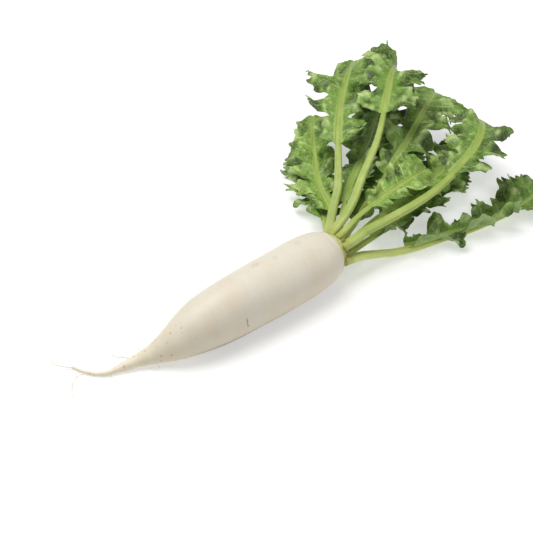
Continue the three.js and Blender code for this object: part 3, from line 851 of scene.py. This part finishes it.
def lobes_of(leaf):
    """The lobes from the lowest to the end lobe, each with its middle, half length and share of the reach."""
    length = leaf["midrib"].length
    start = leaf["bare"] * length
    end_half = (length - start) * END_LOBE_SHARE / 2
    spacing = (length - start - 2 * end_half) / leaf["pairs"]
    lobes = []
    for pair in range(leaf["pairs"]):
        grown = (pair + 1) / leaf["pairs"]
        lobes.append(dict(
            middle=start + spacing * (pair + 0.5),
            half=spacing * (LOBE_FILL + FILL_GAIN * grown),
            share=LOBE_SHARE + SHARE_GAIN * grown,
            web=LOBE_WEB + WEB_GAIN * grown,
            edge=SIDE_LOBE_EDGE,
            veins=SIDE_LOBE_VEINS,
        ))
    lobes.append(dict(
        middle=length - end_half,
        half=end_half,
        share=1,
        web=TIP_WEB,
        edge=END_LOBE_EDGE,
        veins=END_LOBE_VEINS,
    ))
    return lobes


def rows_of(lobes):
    """A blade's rows, as arrays: distance, place in the lobe, its half length, number, share and edge."""
    rows = []
    for number, lobe in enumerate(lobes):
        below = lobes[max(number - 1, 0)]
        places = [place for place, edge in lobe["edge"]]
        edges = [max(edge, below["web"] if place < 0 else lobe["web"]) for place, edge in lobe["edge"]]
        for place in np.linspace(-1, 1, max(8, round(2 * lobe["half"] / ROW_STEP)) + 1):
            station = np.interp(place, places, range(len(places))) / (len(places) - 1)
            edge = smooth_values(edges, np.array([station]))[0]
            at = lobe["middle"] + lobe["half"] * place
            rows.append((at, place, lobe["half"], number, lobe["share"], edge))
        if number + 1 < len(lobes):
            upper = lobes[number + 1]
            foot = lobe["middle"] + lobe["half"]
            gap = upper["middle"] - upper["half"] - foot
            steps = max(2, round(gap / 2))
            for step in range(1, steps):
                between = step / steps
                share = lobe["share"] + (upper["share"] - lobe["share"]) * between
                rows.append((foot + gap * between, 1, lobe["half"], number, share, edges[-1]))
    return [np.array(column) for column in zip(*rows)]


def eased_share(value, start, end):
    """0 up to the start, 1 from the end on, and a smooth change between."""
    share = np.clip((value - start) / (end - start), 0, 1)
    return share**2 * (3 - 2 * share)


def blade_material(name, deep, mid, light, vein):
    """A leaf blade's finish, from its darkest to its lightest green and the colour of its veins. The darkest
    also paints shade into the sheet's hollows, and the lightest a highlight on its crests.
    """
    material, shader = new_material(name, {
        "Roughness": 0.4,
        "IOR": 1.42,
        "Specular IOR Level": 0.5,
        "Subsurface Weight": 0.1,
        "Subsurface Scale": 1.2 * MM,
        "Subsurface Radius": (0.6, 1.0, 0.2),
    })
    place = add_node(material, "ShaderNodeTexCoord", out="Object")
    veins = add_node(material, "ShaderNodeAttribute", out="Vector", attribute_name="veins")
    offset, beyond, edge = add_node(material, "ShaderNodeSeparateXYZ", {0: veins}).node.outputs
    folds = add_node(material, "ShaderNodeAttribute", out="Fac", attribute_name="folds")
    clouds = add_node(material, "ShaderNodeTexNoise", {"Vector": place, "Scale": 1 / (30 * MM), "Detail": 3})
    mottle = add_node(material, "ShaderNodeTexNoise", {"Vector": place, "Scale": 1 / (11 * MM), "Detail": 5})
    deep_patches = add_node(
        material,
        "ShaderNodeMapRange",
        {"Value": clouds, "From Min": 0.42, "From Max": 0.68, "To Max": 0.6},
        interpolation_type="SMOOTHSTEP",
    )
    # Painted shade: where the sheet dips in its folds, it is painted deep green.
    painted_shade_in_hollows = add_node(
        material,
        "ShaderNodeMapRange",
        {"Value": folds, "From Min": 0.2 * MM, "From Max": -2.4 * MM, "To Max": 0.8},
        interpolation_type="SMOOTHSTEP",
    )
    # Painted highlight: where the sheet rises in its folds, it is painted pale.
    painted_highlight_on_crests = add_node(
        material,
        "ShaderNodeMapRange",
        {"Value": folds, "From Min": 0.3 * MM, "From Max": 2.8 * MM, "To Max": 0.65},
        interpolation_type="SMOOTHSTEP",
    )
    pale = add_node(
        material,
        "ShaderNodeMapRange",
        {"Value": mottle, "From Min": 0.5, "From Max": 0.76, "To Max": 0.45},
        interpolation_type="SMOOTHSTEP",
    )

    # The finest veins: a net whose meshes are about 3 mm wide.
    sway = add_node(material, "ShaderNodeTexNoise", {"Vector": place, "Scale": 1 / (5 * MM)}, out="Color")
    swayed = add_node(
        material,
        "ShaderNodeVectorMath",
        {0: sway, 1: (1.6 * MM,) * 3, 2: place},
        operation="MULTIPLY_ADD",
    )
    mesh_cells = add_node(
        material,
        "ShaderNodeTexVoronoi",
        {"Vector": swayed, "Scale": 1 / (3.4 * MM)},
        feature="DISTANCE_TO_EDGE",
    )
    net = add_node(
        material,
        "ShaderNodeMapRange",
        {"Value": mesh_cells, "From Min": 0.09, "From Max": 0.01, "To Max": 0.2},
    )

    # The side veins leave their lobe's main vein every 7 mm and run outwards at about 45 degrees, swaying.
    wander = add_node(material, "ShaderNodeTexNoise", {"Vector": place, "Scale": 1 / (8 * MM)})
    out = add_node(material, "ShaderNodeMath", {0: offset, 1: -0.8, 2: beyond}, operation="MULTIPLY_ADD")
    out = add_node(material, "ShaderNodeMath", {0: wander, 1: 9 * MM, 2: out}, operation="MULTIPLY_ADD")
    fold = add_node(material, "ShaderNodeMath", {0: out, 1: 3.5 * MM}, operation="PINGPONG")
    line = add_node(
        material, "ShaderNodeMapRange", {"Value": fold, "From Min": 0.5 * MM, "From Max": 0.1 * MM}
    )
    near_vein = add_node(
        material,
        "ShaderNodeMapRange",
        {"Value": offset, "From Min": 11 * MM, "From Max": 2 * MM, "To Max": 0.32},
    )
    side_veins = add_node(material, "ShaderNodeMath", {0: line, 1: near_vein}, operation="MULTIPLY")

    # The main veins: 1 mm wide at the midrib, and a third of that at the edge.
    width = add_node(
        material,
        "ShaderNodeMapRange",
        {"Value": edge, "To Min": 0.85 * MM, "To Max": 0.3 * MM},
    )
    nearness = add_node(material, "ShaderNodeMath", {0: offset, 1: width}, operation="DIVIDE")
    main_veins = add_node(
        material,
        "ShaderNodeMapRange",
        {"Value": nearness, "From Min": 1.1, "From Max": 0.5, "To Max": 0.75},
    )
    by_the_rib = add_node(
        material,
        "ShaderNodeMapRange",
        {"Value": beyond, "From Min": 2 * MM, "From Max": -0.3 * MM, "To Max": 0.9},
        interpolation_type="SMOOTHSTEP",
    )
    paint_in_coats(material, shader, mid, [
        (deep_patches, deep),
        (pale, light),
        (painted_shade_in_hollows, deep),
        (painted_highlight_on_crests, light),
        (net, vein),
        (side_veins, vein),
        (main_veins, vein),
        (by_the_rib, "#9fb55e"),
    ])

    puckers = add_node(material, "ShaderNodeMath", {0: mesh_cells, 1: 0.4}, operation="MINIMUM")
    creases = add_node(material, "ShaderNodeMath", {0: mottle, 1: 2.5, 2: puckers}, operation="MULTIPLY_ADD")
    bump = add_node(material, "ShaderNodeBump", {"Height": creases, "Strength": 0.8, "Distance": 1.2 * MM})
    material.node_tree.links.new(bump, shader["Normal"])
    return material


# Full-grown leaf, upper side: a thin waxy green skin over a fine net of veins, so it is matt to satin,
# yellower where it is thin, and paler along every vein. Painted shade makes it deep green in its hollows, and
# a painted highlight pale on its crests.
grown_blade = blade_material("full_grown_leaf_upper_side", "#203407", "#6a8f34", "#bccf88", "#c2d090")
# Its underside: hairier and waxier, so it is a pale grey-green in which the veins stand out.
grown_under = blade_material("full_grown_leaf_underside", "#6c8d46", "#8eac62", "#a8c07c", "#bccd94")
# Young leaf: the same with less green in it yet.
young_blade = blade_material("young_leaf_upper_side", "#365614", "#789c3a", "#bed47e", "#c6d68e")
young_under = blade_material("young_leaf_underside", "#7ea04e", "#9ab86a", "#b2ca84", "#c6d59e")
YOUNG_LEAVES = ["leaf_3", "leaf_8", "leaf_12"]

# The edge's teeth: their length divided by pi, how deep their notches bite, as a share of the edge's
# distance from the rib, and how much that changes along the leaf.
TOOTH_STEP, BITE, BITE_CHANGE = 2.2, 0.18, 0.09
# How far a lobe may depart from the leaf's own rule in reach, lift, curl and tilt, and the longest half lobe
# that tilts by its whole length.
REACH_CHANGE, LIFT_CHANGE, CURL_CHANGE, TILT_CHANGE = 0.22, 0.66, 0.6, 0.8
TILTED_HALF = 20
# Height and width in millimetres of what crumples the sheet, from its broad waves to its finest puckers.
CRUMPLE_HEIGHT, CRUMPLE_WIDTH = 5.5, 17
FOLD_HEIGHT, FOLD_WIDTH = 3.6, 8
PUCKER_HEIGHT, PUCKER_WIDTH = 1.2, 4.4
FURROW_DEPTH, FURROW_WIDTH = 0.8, 1.4
RUFFLE_HEIGHT, RUFFLE_STEP = 2, 2.3

for leaf in LEAVES:
    midrib = leaf["midrib"]
    phase = leaf["phase"]
    lobes = lobes_of(leaf)
    rows = rows_of(lobes)
    across = 2 * BLADE_COLUMNS + STRIP_COLUMNS
    last_row = len(rows[0]) - 1
    blade, column, row = new_grid(leaf["name"] + "_veined_blade", across, last_row)
    row = np.rint(row * last_row).astype(int)
    column = np.rint(column * across).astype(int) - across // 2
    distance, place, half, number, share, edge = (values[row] for values in rows)
    sign = np.where(column < 0, -1.0, 1.0)
    past_strip = np.abs(column) - STRIP_COLUMNS // 2
    on_strip = past_strip < 0

    # The outline's fine teeth: round, with a sharp notch every 7 mm or so, some deeper than others.
    tooth = 1 - np.abs(np.sin(distance / TOOTH_STEP + 1.2 * np.sin(distance / 9 + phase) + sign)) ** 0.7
    bite = BITE + BITE_CHANGE * np.sin(distance / 13 + 2 * phase + sign)
    edge = edge * (1 - bite * tooth * eased_share(edge, 0.15, 0.5))
    out_share = edge * np.clip(past_strip, 0, None) / BLADE_COLUMNS

    # How each lobe departs from the leaf's own rule: its reach, lift, curl and tilt.
    turn = phase + 2.4 * number + 1.3 * sign
    room = 1 - place**2
    freedom = room**2
    reach = leaf["reach"] * share * (1 + REACH_CHANGE * freedom * np.sin(2.3 * turn))
    lift = leaf["lift"] + LIFT_CHANGE * freedom * np.sin(turn)
    curl = leaf["curl"] * (1 + CURL_CHANGE * freedom * np.sin(1.7 * turn + 1))
    tilt = np.minimum(half, TILTED_HALF) * TILT_CHANGE * place * room * np.sin(1.3 * turn + 2)

    beyond = np.where(on_strip, 0, RIB_WING + reach * out_share)
    lean = LOBE_LEAN * eased_share(1 - distance / midrib.length, 0, 0.4)
    middle, side, up = midrib.at(distance + lean * beyond)
    wide = midrib.half_width(distance)
    strip = wide + CAD_THICKNESS / 2
    turned = lift + curl * beyond
    wave = EDGE_WAVE * out_share**2 * np.sin(distance / WAVE_STEP + 1.4 * sign + phase)
    sideways = strip + (np.sin(turned) - np.sin(lift)) / curl
    rise = (np.cos(lift) - np.cos(turned)) / curl + wave + tilt * out_share
    seat = STALK_FLATNESS * wide + TOUCHING_GAP + CAD_THICKNESS / 2

    # The sheet's two halves meet inside the rib: its strip dips from their feet into the rib's upper flanks.
    over = np.abs(column) / (STRIP_COLUMNS / 2)
    sideways = np.where(on_strip, np.interp(over, [0, 0.5, 1], [0, 0.72, 1]) * strip, sideways)
    rise = np.where(on_strip, np.interp(over, [0, 0.5, 1], [-1, -0.4, 0]) * seat, rise)

    # Furrows along the veins, and crumples between them that grow towards the edge.
    vein_feet = [lobe["middle"] + lobe["half"] * vein for lobe in lobes for vein in lobe["veins"]]
    straightened = distance - VEIN_BEND * half * out_share**1.3
    offset = np.min([np.abs(straightened - foot) for foot in vein_feet], axis=0)
    flat_place = np.stack([distance + 300 * phase, beyond * sign, 0 * beyond], axis=-1)
    crumple = CRUMPLE_HEIGHT * relief(flat_place, CRUMPLE_WIDTH)
    crumple += FOLD_HEIGHT * relief(flat_place, FOLD_WIDTH, seed=3)
    pucker = PUCKER_HEIGHT * relief(flat_place, PUCKER_WIDTH, seed=5) * eased_share(offset, 0, 3)
    furrow = -FURROW_DEPTH * np.exp(-((offset / FURROW_WIDTH) ** 2)) * (1 - out_share)
    ruffle = RUFFLE_HEIGHT * out_share**3 * np.sin(distance / RUFFLE_STEP + 2 * np.sin(distance / 11) + sign)
    swell = crumple * eased_share(out_share, 0, 0.5) + furrow + pucker + ruffle
    swell = np.where(on_strip, 0, swell) * eased_share(beyond, RIB_WING, 4)

    points = middle + side * (sign * (sideways - swell * np.sin(turned)))[:, None]
    points += up * (seat + rise + swell * np.cos(turned))[:, None]
    points[:, 2] = np.maximum(points[:, 2], CAD_THICKNESS)
    veins = np.stack([offset * MM, (beyond - RIB_WING) * MM, out_share], axis=-1)
    keep_attribute(blade, "veins", "FLOAT_VECTOR", veins)
    keep_attribute(blade, "folds", "FLOAT", swell * MM)
    shape(blade, points)
    young = leaf["name"] in YOUNG_LEAVES
    blade.data.materials.append(young_blade if young else grown_blade)
    blade.data.materials.append(young_under if young else grown_under)
    thicken = blade.modifiers.new("thickness", "SOLIDIFY")
    thicken.thickness = BLADE_THICKNESS * MM
    thicken.offset = 0
    thicken.material_offset = 1
    bpy.ops.object.modifier_apply(modifier="thickness")
    bpy.ops.object.shade_smooth()
    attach(blade, "root")
    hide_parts(leaf["name"] + "_blade")
